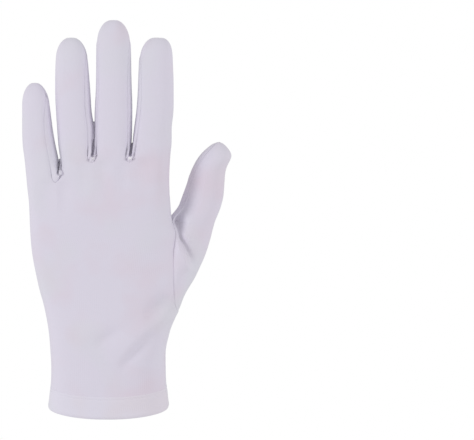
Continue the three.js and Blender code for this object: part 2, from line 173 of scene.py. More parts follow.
# The four fingers. slot is the height where a finger starts to come free, width and centre run up it,
# dome is the length of its rounded tip, round and shoulder say how square the tip is, shoulder at its
# right side, and roll turns it about its own length
fingers = [
    {"name": "little", "slot": 140, "tip": 194.8, "dome": 13, "round": 2.05, "shoulder": 2.05,
     "depth": 15.2, "roll": 20,
     "centre": [(125, -37), (140, -37.8), (150, -38.5), (159, -39.9), (169, -40.8), (183, -41.5),
                (194, -42)],
     "width": [(125, 17.5), (140, 19.4), (150, 20), (159, 19.2), (169, 17.6), (182, 15.9), (194, 15.2)]},
    {"name": "ring", "slot": 148, "tip": 220.9, "dome": 14, "round": 2.25, "shoulder": 2.1,
     "depth": 16.5, "roll": 11,
     "centre": [(130, -17.2), (150, -17.5), (159, -18.1), (169, -18.5), (178, -19.4), (188, -19.9),
                (204, -20.4), (221, -20.6)],
     "width": [(130, 19), (150, 20), (159, 20.9), (169, 21.5), (178, 20.7), (188, 20.5), (195, 19.9),
               (206, 18.8), (221, 18)]},
    {"name": "middle", "slot": 151.5, "tip": 231, "dome": 16, "round": 2.35, "shoulder": 2.25,
     "depth": 17.2, "roll": 3,
     "centre": [(130, 3.4), (155, 3.35), (174, 3.6), (190, 3.9), (231, 3.8)],
     "width": [(130, 19.5), (150, 20.6), (155, 21.4), (174, 21.9), (183, 21.6), (192, 20.8), (206, 20.2),
               (214, 19.8), (231, 19.2)]},
    {"name": "index", "slot": 151.5, "tip": 220.9, "dome": 15, "round": 2.3, "shoulder": 3.1,
     "depth": 17, "roll": -6,
     "centre": [(130, 25.1), (150, 25.4), (155, 25.6), (159, 26), (169, 26.6), (178, 27.7), (188, 28.2),
                (207, 28.5), (221, 28.8)],
     "width": [(130, 20.5), (150, 22.2), (155, 22.6), (160, 22.7), (169, 21.8), (178, 21.6), (188, 20.9),
               (198, 20.4), (207, 19.5), (221, 18.8)]},
]
fingerShape = {
    "squareness": 2.15,
    "depth": [(-0.4, 1.3), (-0.14, 1.24), (0, 1.12), (0.3, 1.03), (0.55, 0.99), (0.82, 0.94), (1, 0.92)],
    "strip": [(0.25, 11), (0.6, 9.6), (0.78, 5.6), (0.87, 0)],  # breadth of the side strip along the finger
    "shoulderTurn": 1.5,  # how soon round the finger the right side's squareness takes over
    "leastDome": 0.05,
    "turn": 11,  # degrees from row to row round the tip
    "lastTurn": 77,  # and of the last full section
    "tipSeam": 0.2,  # half of the short seam over the tip, as a share of the finger's half width
    "tipLift": 1.6,  # how far the tip's cloth faces up
}


def freeShare(finger, z):
    return (z - finger["slot"]) / (finger["tip"] - finger["slot"])


def domeScale(finger, z, squareness):
    above = min(1, max(0, (z - finger["tip"] + finger["dome"]) / finger["dome"]))
    return (1 - above ** squareness) ** (1 / squareness), above


def fingerSpot(finger, angle, z, face):
    scale, above = domeScale(finger, z, finger["round"])
    rightScale, _ = domeScale(finger, z, finger["shoulder"])
    free = freeShare(finger, z)
    halfWide = curve(finger["width"], z) / 2
    halfDeep = finger["depth"] * curve(fingerShape["depth"], free) / 2
    s, c = math.sin(math.radians(angle)), math.cos(math.radians(angle))
    sharp = 2 / fingerShape["squareness"]
    sideScale = blend(scale, rightScale, smooth(s * fingerShape["shoulderTurn"]))
    local = Vector((halfWide * sideScale * power(s, sharp), face * halfDeep * scale * power(c, sharp), 0))
    facing = ovalFacing(s, c, face, sharp, halfWide, halfDeep)
    facing.z = above ** 2 * fingerShape["tipLift"]
    turn = Matrix.Rotation(-math.radians(finger["roll"]), 3, "Z")
    return turn @ local + Vector((curve(finger["centre"], z), curlAt(z), z)), (turn @ facing).normalized()


def tipSpot(finger, across):  # on the short seam over the fingertip, across from -1 to 1
    reach, tip = fingerShape["tipSeam"], finger["tip"]
    rise = (1 - abs(across * reach) ** finger["round"]) ** (1 / finger["round"])
    top = tip - finger["dome"] + finger["dome"] * rise
    halfWide = curve(finger["width"], tip) / 2
    turn = Matrix.Rotation(-math.radians(finger["roll"]), 3, "Z")
    point = turn @ Vector((across * reach * halfWide, 0, 0))
    return point + Vector((curve(finger["centre"], tip), curlAt(tip), top)), Vector((0, 0, 1))


def stripAngle(finger, z):  # where the seam beside a side strip runs on the finger
    free = freeShare(finger, z)
    half = curve(fingerShape["strip"], free) / 2
    dome, _ = domeScale(finger, z, finger["round"])
    dome = max(fingerShape["leastDome"], dome)
    halfDeep = finger["depth"] * curve(fingerShape["depth"], free) * dome / 2
    share = min(1, half / halfDeep)
    return math.degrees(math.acos(share ** (fingerShape["squareness"] / 2)))


# Where two fingers part: x and bottom of the slot, and how much it leans. right is the breadth of its
# right half, floor and web are the heights of the slit's floor and of the web behind it, aside moves the
# slit, pucker is the share of the puckering at its foot, and tack the number of stitches there
crotches = [
    {"name": "ring_little", "x": -29.9, "bottom": 137.7, "lean": 0.2, "right": 0.85,
     "floor": 15, "web": 13, "aside": 0.45, "pucker": 0, "tack": 0},
    {"name": "middle_ring", "x": -8.8, "bottom": 149.1, "lean": 0, "right": 1,
     "floor": 11.5, "web": 24, "aside": -0.3, "pucker": 1, "tack": 4},
    {"name": "index_middle", "x": 13.3, "bottom": 149.4, "lean": 0, "right": 1,
     "floor": 11.5, "web": 10.5, "aside": -0.3, "pucker": 1, "tack": 4},
]
slotShape = {
    "opening": [(0, 0), (0.12, 0.5), (0.5, 1.05), (1.1, 1.55), (2, 2), (3.2, 2.4), (5, 2.8), (9, 3.1),
                (30, 3.2)],
    "settle": 12,  # height over which the seam swings over to the finger's side
    "valley": 0.9,  # dip between the knuckles below the slot
    "valleyLength": 20,
    "meeting": 26,  # height below a slot over which the hand's section turns into the fingers'
    "round": {"wide": 0.45, "above": 6, "fade": 10},  # the cloth here keeps to the hand's round shape
    "pull": 0.5,  # share of a finger's breadth that the slot's edge draws with it
}


def fingerBeside(number, side):  # of a slot, side -1 at its left and 1 at its right
    return fingers[number if side < 0 else number + 1]


def slotX(crotch, z):
    centre, halfWide, _, _ = handSection(crotch["bottom"])
    share = (crotch["x"] - centre) / halfWide
    centre, halfWide, _, _ = handSection(z)
    return centre + share * halfWide + crotch["lean"] * max(0, z - crotch["bottom"])


def slotEdge(number, side, z, face):  # the seam's line at a slot
    crotch = crotches[number]
    above = z - crotch["bottom"]
    dip = slotShape["valley"] * smooth(1 + above / slotShape["valleyLength"])
    middle = slotX(crotch, z)
    spot = handSpot(handAngle(middle, z), z, face)
    spot = lifted(spot, -dip), spot[1]
    if above <= 0:
        return spot
    spot[0].x += side * curve(slotShape["opening"], above) * (crotch["right"] if side > 0 else 1)
    finger = fingerBeside(number, side)
    onFinger = fingerSpot(finger, -side * stripAngle(finger, z), z, face)
    return mixSpots(spot, onFinger, smooth(above / slotShape["settle"]))


# The seam that lets the thumb in, as hand angles by height on the back and on the palm
thumbSeam = {
    "low": 60.5,
    "fork": 112.8,
    "forkZone": 5.4,  # closer rows over this height below the fork
    back: [(60.5, 90), (62.5, 72), (66, 62.6), (70, 57.6), (77, 54.9), (88, 56.2), (98, 60.5), (102, 65),
           (105, 70), (107.5, 76), (110, 82), (112.8, 90)],
    palm: [(60.5, 90), (61.5, 63), (63, 49), (66, 34), (69.3, 26), (76, 21), (88, 23.5), (97, 33.5),
           (104.5, 47.5), (109, 62), (111.2, 74), (112.8, 90)],
}


def rightAngle(z, face):
    if thumbSeam["low"] <= z <= thumbSeam["fork"]:
        return curve(thumbSeam[face], z)
    return 90


# Folds of the worn cloth on the back, from end to end in x and z. rise below 0 is a dent
folds = [
    {"from": (28, 51.5), "to": (7.5, 29.5), "wide": 2.6, "rise": -1.7},
    {"from": (25, 56), "to": (0, 31.5), "wide": 5.5, "rise": 1.3},
    {"from": (36, 48), "to": (15, 26), "wide": 5, "rise": 0.5},
    {"from": (9, 53.5), "to": (-7, 43.5), "wide": 2.8, "rise": -1.1},
    {"from": (2, 58), "to": (-18, 46.5), "wide": 5.5, "rise": 0.9},
    {"from": (37, 71), "to": (23, 60), "wide": 4.5, "rise": -2.6},
    {"from": (38, 61), "to": (20, 50), "wide": 4.5, "rise": 1.3},
    {"from": (36, 110), "to": (27, 80), "wide": 9, "rise": -0.9},
]
foldFullness = 0.6  # below 1 a fold keeps its height up to near its ends
# Broad soft waviness of the worn cloth, with the heights where it and the folds come in and fade
unevenness = {"size": 38, "height": 0.35, "place": (3.1, 0, 7.7), "in": (14, 10), "out": (170, 30)}


def foldHeight(fold, x, z):
    start = Vector(fold["from"])
    line = Vector(fold["to"]) - start
    offset = Vector((x, z)) - start
    t = offset.dot(line) / line.length_squared
    aside = (offset - line * t).length / fold["wide"]
    past = max(0, -t, t - 1) * line.length / fold["wide"]
    ends = math.sin(math.pi * t) ** foldFullness if 0 < t < 1 else 0
    return fold["rise"] * ends * math.exp(-aside * aside - past * past)


def clothHeight(point, face):
    shift = Vector(unevenness["place"])
    shift.x *= face
    height = unevenness["height"] * noise.noise(point / unevenness["size"] + shift)
    if face == back:
        height += sum(foldHeight(fold, point.x, point.z) for fold in folds)
    return height


# A sewn edge dives into the seam, and the cloth beside it swells a little
seam = {
    "drop": 0.22,
    "reach": 1.2,
    "swell": 0.14,
    "swellAt": 2.2,
    "swellWide": 1.2,
    "under": 0.35,  # how far a strip's or the thumb's edge lies below the panel's
    "overlap": 0.3,
    "tipDrop": 0.132,  # at the short seam over a fingertip
    "below": 0.3,  # the sewing starts this far below a slot
    "grows": 1.8,
}


def seamHeight(distance):
    height = seam["swell"] * math.exp(-(((distance - seam["swellAt"]) / seam["swellWide"]) ** 2))
    if distance < seam["reach"]:
        height -= seam["drop"] * (1 - distance / seam["reach"]) ** 2
    return height


# Columns across a finger's width, closer at its seams
legWidth = 21
edgeSteps = [0, 0.35, 0.8, 1.4, 2.3, 3.6, 5.2, 7.1, 8.9]
leftColumns = [step / legWidth for step in edgeSteps]
legColumns = leftColumns + [0.5] + [1 - share for share in reversed(leftColumns)]

hem = {"height": 13.4, "arch": 2.6, "archFades": 40, "overlap": 0.6}
# Rows of cloth: mm from row to row, and length and count of the closer rows at a seam's start or a slot
clothRows = {
    "apart": 2.2,
    "seam": (6, 6),
    "forkCount": 6,
    "slot": (10, 9),
    "splitCount": 11,
    "belowSlot": 1,
    "splitTop": 162,  # up to here all four strips of a panel share their rows
}


def rowsToFork():  # close together just below the thumb's fork
    steps = easedSteps(0, thumbSeam["forkZone"], clothRows["forkCount"])[:-1]
    return [thumbSeam["fork"] - step for step in reversed(steps)]


def domeRows(start, length, roundness, turns):  # up a rounded tip
    return [start + length * math.sin(math.radians(turn)) ** (2 / roundness) for turn in turns]


def sharedRows():
    apart, low, fork = clothRows["apart"], thumbSeam["low"], thumbSeam["fork"]
    slot, nextSlot = crotches[0]["bottom"], crotches[1]["bottom"]
    rows = [hem["height"] - hem["overlap"]] + evenSteps(hem["height"], low, apart)
    rows += easedSteps(low, *clothRows["seam"])[1:]
    rows += evenSteps(rows[-1], fork - thumbSeam["forkZone"], apart)[1:] + rowsToFork()
    rows += evenSteps(fork, slot - clothRows["belowSlot"], apart)[1:] + [slot]
    rows += easedSteps(slot, *clothRows["slot"])[1:] + [nextSlot]
    rows += easedSteps(nextSlot, clothRows["splitTop"] - nextSlot, clothRows["splitCount"])[1:]
    return sorted(set(round(row, 4) for row in rows))


def fingerRows(finger):
    start = finger["tip"] - finger["dome"]
    rows = evenSteps(clothRows["splitTop"], start, clothRows["apart"])[1:]
    turns = evenSteps(0, fingerShape["lastTurn"], fingerShape["turn"])[1:]
    return rows + domeRows(start, finger["dome"], finger["round"], turns) + [finger["tip"]]


def plainLegSpot(number, u, z, face):
    finger = fingers[number]
    if z >= finger["tip"]:
        return tipSpot(finger, 2 * u - 1)
    low = -90 if number == 0 else handAngle(slotX(crotches[number - 1], z), z)
    high = rightAngle(z, face) if number == 3 else handAngle(slotX(crotches[number], z), z)
    seamAngle = stripAngle(finger, z)
    first = -90 if number == 0 else -seamAngle
    last = 90 if number == 3 else seamAngle
    slotLow = crotches[max(0, number - 1)]["bottom"]
    slotHigh = crotches[min(2, number)]["bottom"]
    share = smooth((z - blend(slotLow, slotHigh, u)) / slotShape["meeting"] + 1)
    keep = slotShape["round"]
    for side, joined, bottom in ((0, number > 0, slotLow), (1, number < 3, slotHigh)):
        if joined:
            near = 1 - smooth(abs(u - side) / keep["wide"])
            share *= 1 - near * smooth((bottom + keep["above"] - z) / keep["fade"])
    onFinger = fingerSpot(finger, blend(first, last, u), z, face)
    if share >= 1:
        return onFinger
    onHand = handSpot(blend(low, high, u), min(z, hand["top"]), face)
    onHand[0].z = z
    return mixSpots(onHand, onFinger, share)


def legPoint(number, u, z, face):
    spot = plainLegSpot(number, u, z, face)
    if z >= fingers[number]["tip"]:
        return lifted(spot, -seam["tipDrop"])
    height = 0
    for side, joined in ((0, number > 0), (1, number < 3)):
        away = abs(u - side)
        if joined:
            crotch = number - 1 + side
            reach = smooth(1 - away / slotShape["pull"])
            if reach > 0:
                edge = slotEdge(crotch, 1 - 2 * side, z, face)
                spot = movedBy(spot, edge, plainLegSpot(number, side, z, face), reach)
            sewn = smooth((z - crotches[crotch]["bottom"] + seam["below"]) / seam["grows"])
        else:
            sewn = 1
        height += sewn * seamHeight(away * legWidth)
    end, fade = unevenness["out"]
    height += clothHeight(spot[0], face) * over(z, *unevenness["in"]) * smooth((end - z) / fade)
    return lifted(spot, height)


def hemArch(x):
    _, halfWide, _, _ = handSection(0)
    return hem["arch"] * (x / halfWide) ** 2


# Mesh helpers

def sheetOf(mesh, across, along, place):  # a grid of cloth, returned as rows of its corners
    made = bmesh.ops.create_grid(mesh, x_segments=len(across) - 1, y_segments=len(along) - 1, size=0.5)
    rows = [[None] * len(across) for _ in along]
    for corner in made["verts"]:
        column = round((corner.co.x + 0.5) * (len(across) - 1))
        row = round((corner.co.y + 0.5) * (len(along) - 1))
        corner.co = place(across[column], along[row])
        rows[row][column] = corner
    return rows


def lengthsOf(corners):  # the way along them, from the first
    lengths = [0]
    for before, after in zip(corners, corners[1:]):
        lengths.append(lengths[-1] + (after.co - before.co).length)
    return lengths


def runsOf(row):  # distance of each corner in a row from the middle one, left below 0
    lengths = lengthsOf(row)
    middle = lengths[len(lengths) // 2]
    return [length - middle for length in lengths]


def setUV(mesh, flat):  # flat gives each corner's place on the cloth as it was cut
    layer = mesh.loops.layers.uv.new("cloth")
    for face in mesh.faces:
        for loop in face.loops:
            loop[layer].uv = flat[loop.vert]


def pieceFrom(mesh, name, material, wall, levels=1):
    for corner in mesh.verts:
        corner.co *= mm
    for face in mesh.faces:
        face.smooth = True
    data = bpy.data.meshes.new(name)
    mesh.to_mesh(data)
    mesh.free()
    data.materials.append(material)
    piece = bpy.data.objects.new(name, data)
    bpy.context.collection.objects.link(piece)
    if levels:
        rounder = piece.modifiers.new("rounding", "SUBSURF")
        rounder.levels = levels
        rounder.render_levels = levels
    if wall:
        thickness = piece.modifiers.new("cloth thickness", "SOLIDIFY")
        thickness.thickness = wall * mm
        thickness.offset = -1
    return piece


# Materials

def linear(hexColour):
    def channel(text):
        value = int(text, 16) / 255
        return value / 12.92 if value <= 0.04045 else ((value + 0.055) / 1.055) ** 2.4

    code = hexColour.lstrip("#")
    return tuple(channel(code[i:i + 2]) for i in (0, 2, 4)) + (1,)


def addNode(tree, kind, settings=None, links=None):
    node = tree.nodes.new(kind)
    for name, value in (settings or {}).items():
        if isinstance(name, int) or name in node.inputs:
            node.inputs[name].default_value = value
        else:
            setattr(node, name, value)
    for name, source in (links or {}).items():
        tree.links.new(source, node.inputs[name])
    return node


def plainMaterial(name, look):
    material = bpy.data.materials.new(name)
    material.use_nodes = True
    shader = material.node_tree.nodes["Principled BSDF"]
    shader.inputs["Base Color"].default_value = linear(look["colour"])
    shader.inputs["Roughness"].default_value = look["roughness"]
    shader.inputs["Sheen Weight"].default_value = look["sheen"]
    return material


# Nylon tricot, a warp knit with fine upright wales: a soft low sheen and faint lilac, pink and grey clouds
tricot = {
    "colour": "#dbd6e4",
    "pink": "#dbd0dd",
    "cool": "#d8d8e0",
    "pinkWay": (2.2, 0, -0.7),  # the pink gathers towards the thumb and the wrist
    "cloud": 26,  # mm across one patch of tint
    "wale": 1.25,  # mm from wale to wale. The real 0.6 is too fine to show, so it is drawn twice as coarse
    "course": 1.0,  # mm from stitch to stitch up a wale, drawn coarse with it
    "relief": 0.06,  # mm from the top of a wale to the bottom between two
    "bump": 0.35,
    "loopLean": 1.3,  # how far a loop's legs slant from the middle of its wale
    "loopRelief": 0.25,  # as a share of the wale's
    "pinkRange": (0.42, 0.66, 0.9),  # where in the clouds the tint starts and is full, and its most
    "coolRange": (0.5, 0.75, 0.8),
    "roughness": 0.62,
    "specular": 0.35,
    "sheen": 0.35,
    "sheenRoughness": 0.4,
}


def knitMaterial(name, look):
    material = bpy.data.materials.new(name)
    material.use_nodes = True
    tree = material.node_tree
    tree.nodes.clear()
    place = addNode(tree, "ShaderNodeTexCoord")
    here = place.outputs["Object"]
    flat = addNode(tree, "ShaderNodeSeparateXYZ", links={0: place.outputs["UV"]})

    # Rounded wales side by side, each a column of slanting loops
    turns = addNode(tree, "ShaderNodeMath", {"operation": "MULTIPLY", 1: 2 * math.pi / look["wale"]},
                    {0: flat.outputs[0]})
    halfTurns = addNode(tree, "ShaderNodeMath", {"operation": "MULTIPLY", 1: 0.5}, {0: turns.outputs[0]})
    wave = addNode(tree, "ShaderNodeMath", {"operation": "SINE"}, {0: halfTurns.outputs[0]})
    wales = addNode(tree, "ShaderNodeMath", {"operation": "ABSOLUTE"}, {0: wave.outputs[0]})
    sides = addNode(tree, "ShaderNodeMath", {"operation": "SINE"}, {0: turns.outputs[0]})
    slant = addNode(tree, "ShaderNodeMath", {"operation": "ABSOLUTE"}, {0: sides.outputs[0]})
    lean = addNode(tree, "ShaderNodeMath", {"operation": "MULTIPLY", 1: look["loopLean"]},
                   {0: slant.outputs[0]})
    up = addNode(tree, "ShaderNodeMath", {"operation": "MULTIPLY_ADD", 1: 2 * math.pi / look["course"]},
                 {0: flat.outputs[1], 2: lean.outputs[0]})
    stitches = addNode(tree, "ShaderNodeMath", {"operation": "SINE"}, {0: up.outputs[0]})
    knit = addNode(tree, "ShaderNodeMath", {"operation": "MULTIPLY_ADD", 1: look["loopRelief"]},
                   {0: stitches.outputs[0], 2: wales.outputs[0]})
    bump = addNode(tree, "ShaderNodeBump", {"Strength": look["bump"], "Distance": look["relief"] * mm},
                   {"Height": knit.outputs[0]})

    clouds = addNode(tree, "ShaderNodeTexNoise",
                     {"Scale": 1 / (look["cloud"] * mm), "Detail": 2, "Roughness": 0.45}, {"Vector": here})
    shifted = addNode(tree, "ShaderNodeMapping", {"Location": (0.31, 0.12, 0.47)}, {"Vector": here})
    otherClouds = addNode(tree, "ShaderNodeTexNoise", {"Scale": 0.7 / (look["cloud"] * mm), "Detail": 1},
                          {"Vector": shifted.outputs[0]})
    towardsThumb = addNode(tree, "ShaderNodeVectorMath", {"operation": "DOT_PRODUCT", 1: look["pinkWay"]},
                           {0: here})
    pinkPlaces = addNode(tree, "ShaderNodeMath", {"operation": "ADD"},
                         {0: clouds.outputs["Fac"], 1: towardsThumb.outputs["Value"]})
    pinkness, coolness = [
        addNode(tree, "ShaderNodeMapRange", {"From Min": start, "From Max": full, "To Max": most},
                {"Value": cloudiness})
        for (start, full, most), cloudiness in ((look["pinkRange"], pinkPlaces.outputs[0]),
                                                (look["coolRange"], otherClouds.outputs["Fac"]))
    ]
    pinker = addNode(tree, "ShaderNodeMix", {"data_type": "RGBA"}, {0: pinkness.outputs[0]})
    pinker.inputs[6].default_value = linear(look["colour"])
    pinker.inputs[7].default_value = linear(look["pink"])
    tinted = addNode(tree, "ShaderNodeMix", {"data_type": "RGBA"},
                     {0: coolness.outputs[0], 6: pinker.outputs[2]})
    tinted.inputs[7].default_value = linear(look["cool"])
    shader = addNode(
        tree, "ShaderNodeBsdfPrincipled",
        {"Roughness": look["roughness"], "Specular IOR Level": look["specular"], "IOR": 1.5,
         "Sheen Weight": look["sheen"], "Sheen Roughness": look["sheenRoughness"]},
        {"Base Color": tinted.outputs[2], "Normal": bump.outputs[0]},
    )
    addNode(tree, "ShaderNodeOutputMaterial", links={"Surface": shader.outputs[0]})
    return material


glove = knitMaterial("nylon_tricot", tricot)
# The same knit, two layers thick, so the hem reads a shade lighter
doubled = dict(tricot, colour="#ddd9e6", pink="#ddd6e0", cool="#dadae2")
hemCloth = knitMaterial("nylon_tricot_doubled", doubled)
clothWall = 0.9
weld = 0.01  # mm within which the corners of two strips of cloth become one


# Back and palm, each one piece of cloth with four fingers

def archedRow(point):  # the lowest rows follow the hem's curved top
    rise = hemArch(point.x) * smooth(1 - (point.z - hem["height"]) / hem["archFades"])
    return point + Vector((0, 0, rise))


def makePanel(name, node, face):
    mesh = bmesh.new()
    shared = sharedRows()
    legs = []
    for number, finger in enumerate(fingers):
        rows = shared + fingerRows(finger)
        legs.append(sheetOf(mesh, legColumns, rows, lambda u, z: archedRow(legPoint(number, u, z, face))))
    if face == palm:
        bmesh.ops.reverse_faces(mesh, faces=mesh.faces[:])
    starts = {2: [0] * len(shared)}
    for number, step in ((1, -1), (0, -1), (3, 1)):
        inner = number - step
        crotch = crotches[min(number, inner)]["bottom"]
        offsets = []
        for row, z in enumerate(shared):
            if z > crotch + weld:
                offsets.append(offsets[-1])
                continue
            reach = runsOf(legs[inner][row])[-1 if step > 0 else 0]
            own = runsOf(legs[number][row])[0 if step > 0 else -1]
            offsets.append(starts[inner][row] + reach - own)
        starts[number] = offsets
    flat = {}
    for number, rows in enumerate(legs):
        for row, corners in enumerate(rows):
            offset = starts[number][min(row, len(shared) - 1)]
            for corner, run in zip(corners, runsOf(corners)):
                flat[corner] = (offset + run, corner.co.z)
    setUV(mesh, flat)
    bmesh.ops.remove_doubles(mesh, verts=mesh.verts, dist=weld)
    piece = pieceFrom(mesh, name, glove, clothWall)
    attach(piece, "root")
    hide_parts(node)


makePanel("back_cloth", "back_panel", back)
makePanel("palm_cloth", "palm_panel", palm)
print("back and palm sewn")


# Fourchettes, the side strips: down one finger, through the slot and up the next

fourchette = {
    "blend": {-1: 15, 1: 22},  # height over which the strip comes to lie on the finger's side
    # way of the web from a seam to the middle: how far along, how deep and how high, as shares
    "deep": [(0, 0), (0.04, -0.025), (0.08, -0.055), (0.12, -0.05), (0.15, 0.04), (0.175, 0.36), (0.2, 0.54),
             (0.25, 0.7), (0.31, 0.82), (0.4, 0.94), (0.5, 1)],
    "high": [(0, 0), (0.04, 0.09), (0.08, 0.18), (0.12, 0.255), (0.15, 0.295), (0.2, 0.36), (0.25, 0.43),
             (0.31, 0.54), (0.4, 0.78), (0.5, 1)],
    "aside": [(0, 0), (0.04, 0.27), (0.08, 0.5), (0.12, 0.72), (0.16, 0.9), (0.2, 0.97), (0.5, 1)],
    "slit": [(0, 0.2), (0.6, 0.85), (1.6, 1.05), (3, 0.65), (5, 0.6), (14, 0.55), (20, 0.45), (26, 0.3)],
    "floorRound": 3,  # how square the slit's floor turns up at its ends
    "webPlace": (0.3, 0.67),  # how wide the web behind the slit rises, and how late
    "facing": (0.3, 0.4),  # how far the slit's cloth faces aside and up
    "mound": {"high": 2.1, "wide": 1.2, "rise": 1.1},  # puckered cloth at the foot of the slot
    # and a crease on each side of it
    "crease": {"top": 4.3, "past": 0.4, "lean": 0.5, "low": 0.9, "fade": 0.8, "wide": 0.5, "rise": -1.5},
    "close": (15, 18),  # length and count of the closer rows at the foot
    "short": 0.005,  # the strip ends this share of the finger before its seams meet
    "breadth": (0.2, 1.15),  # its least, and how far the cloth bulges past it
    "seamFrom": 6,
    "cut": 12,  # breadth of the strip as it was cut, for its knit
    "across": evenSteps(0, 0.22, 0.02) + [0.25, 0.28, 0.31, 0.36, 0.4, 0.45],
}


def puckerHeight(aside, high):  # the mound at the foot of a slot, with a crease down each side
    mound, crease = fourchette["mound"], fourchette["crease"]
    away = math.hypot(aside, high - mound["high"]) / mound["wide"]
    height = mound["rise"] * math.exp(-away * away)
    if crease["low"] < high < crease["top"] + crease["past"]:
        away = (abs(aside) - (crease["top"] - high) * crease["lean"]) / crease["wide"]
        depth = crease["rise"] * math.exp(-away * away)
        height += depth * over(high, crease["low"], crease["fade"])
    return height


def stripSpot(number, side, above, t):
    crotch = crotches[number]
    finger = fingerBeside(number, side)
    z = crotch["bottom"] + above
    start, end = slotEdge(number, side, z, back), slotEdge(number, side, z, palm)
    seamAngle = stripAngle(finger, z)
    angle, face = facedAngle(blend(seamAngle, 180 - seamAngle, t))
    onFinger = fingerSpot(finger, -side * angle, z, face)
    near, far = (start, end) if t <= 0.5 else (end, start)
    way = min(t, 1 - t)
    deep, high = curve(fourchette["deep"], way), curve(fourchette["high"], way)
    aside = curve(fourchette["aside"], way)
    rounding = fourchette["floorRound"]
    middleZ = crotch["bottom"] + (above ** rounding + crotch["floor"] ** rounding) ** (1 / rounding)
    pointZ = blend(near[0].z, middleZ, high)
    leftSide = fingerSpot(fingers[number], 90, pointZ, back)[0].x
    rightSide = fingerSpot(fingers[number + 1], -90, pointZ, back)[0].x
    gap = (leftSide + rightSide) / 2 + crotch["aside"] + side * curve(fourchette["slit"], above)
    point = Vector((
        blend(near[0].x, gap, aside),
        blend(near[0].y, (near[0].y + far[0].y) / 2, deep),
        pointZ,
    ))
    higher = crotch["web"] - crotch["floor"]
    wide, late = fourchette["webPlace"]
    point.z += higher * smooth(way / wide - late) * (1 - smooth(above / crotch["web"]))
    outward = math.copysign(1, near[0].y - far[0].y)
    pucker = puckerHeight(point.x - slotX(crotch, point.z), point.z - crotch["bottom"])
    point.y += outward * pucker * crotch["pucker"]
    facing = Vector((side * fourchette["facing"][0], outward, fourchette["facing"][1])).normalized()
    return mixSpots((point, facing), onFinger, smooth(above / fourchette["blend"][side]))


def stripTop(finger, crotch):
    share = fingerShape["strip"][-1][0] - fourchette["short"]
    return finger["slot"] + share * (finger["tip"] - finger["slot"]) - crotch["bottom"]


def makeFourchette(number):
    crotch = crotches[number]
    mesh = bmesh.new()
    stations = []
    for side in (-1, 1):
        top = stripTop(fingerBeside(number, side), crotch)
        heights = easedSteps(0, *fourchette["close"])
        heights += evenSteps(heights[-1], top, clothRows["apart"])[1:]
        stations += [(side, height) for height in heights if side > 0 or height > 0]
    stations.sort(key=lambda station: station[0] * station[1])

    def place(station, t):
        side, above = station
        spot = stripSpot(number, side, above, t)
        finger = fingerBeside(number, side)
        z = crotch["bottom"] + above
        least, bulge = fourchette["breadth"]
        breadth = max(least, curve(fingerShape["strip"], freeShare(finger, z))) * bulge
        height = sum(seamHeight(away * breadth) for away in (t, 1 - t))
        point = lifted(spot, height * smooth(above / fourchette["seamFrom"]))
        if t in (0, 1):  # the sewn edge lies under the panel's
            turn = math.atan(above)
            facing = slotEdge(number, side, z, back if t == 0 else palm)[1]
            along = Vector((side * math.sin(turn), 0, -math.cos(turn)))
            point += (along - facing * along.dot(facing)) * seam["overlap"] - facing * seam["under"]
        return point

    across = fourchette["across"] + [0.5] + [1 - share for share in reversed(fourchette["across"])]
    rows = sheetOf(mesh, stations, across, place)
    lengths = lengthsOf(rows[len(rows) // 2])
    setUV(mesh, {corner: (t * fourchette["cut"], run) for row, t in zip(rows, across)
                 for corner, run in zip(row, lengths)})
    piece = pieceFrom(mesh, "fourchette_cloth_" + crotch["name"], glove, clothWall)
    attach(piece, "root")
    lower, upper = fingers[number]["name"], fingers[number + 1]["name"]
    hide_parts("fourchette_" + upper + "_" + lower)


for number in range(3):
    makeFourchette(number)
print("fourchettes sewn")


# Thumb, let into the hand below its fork and closed to a tube above it

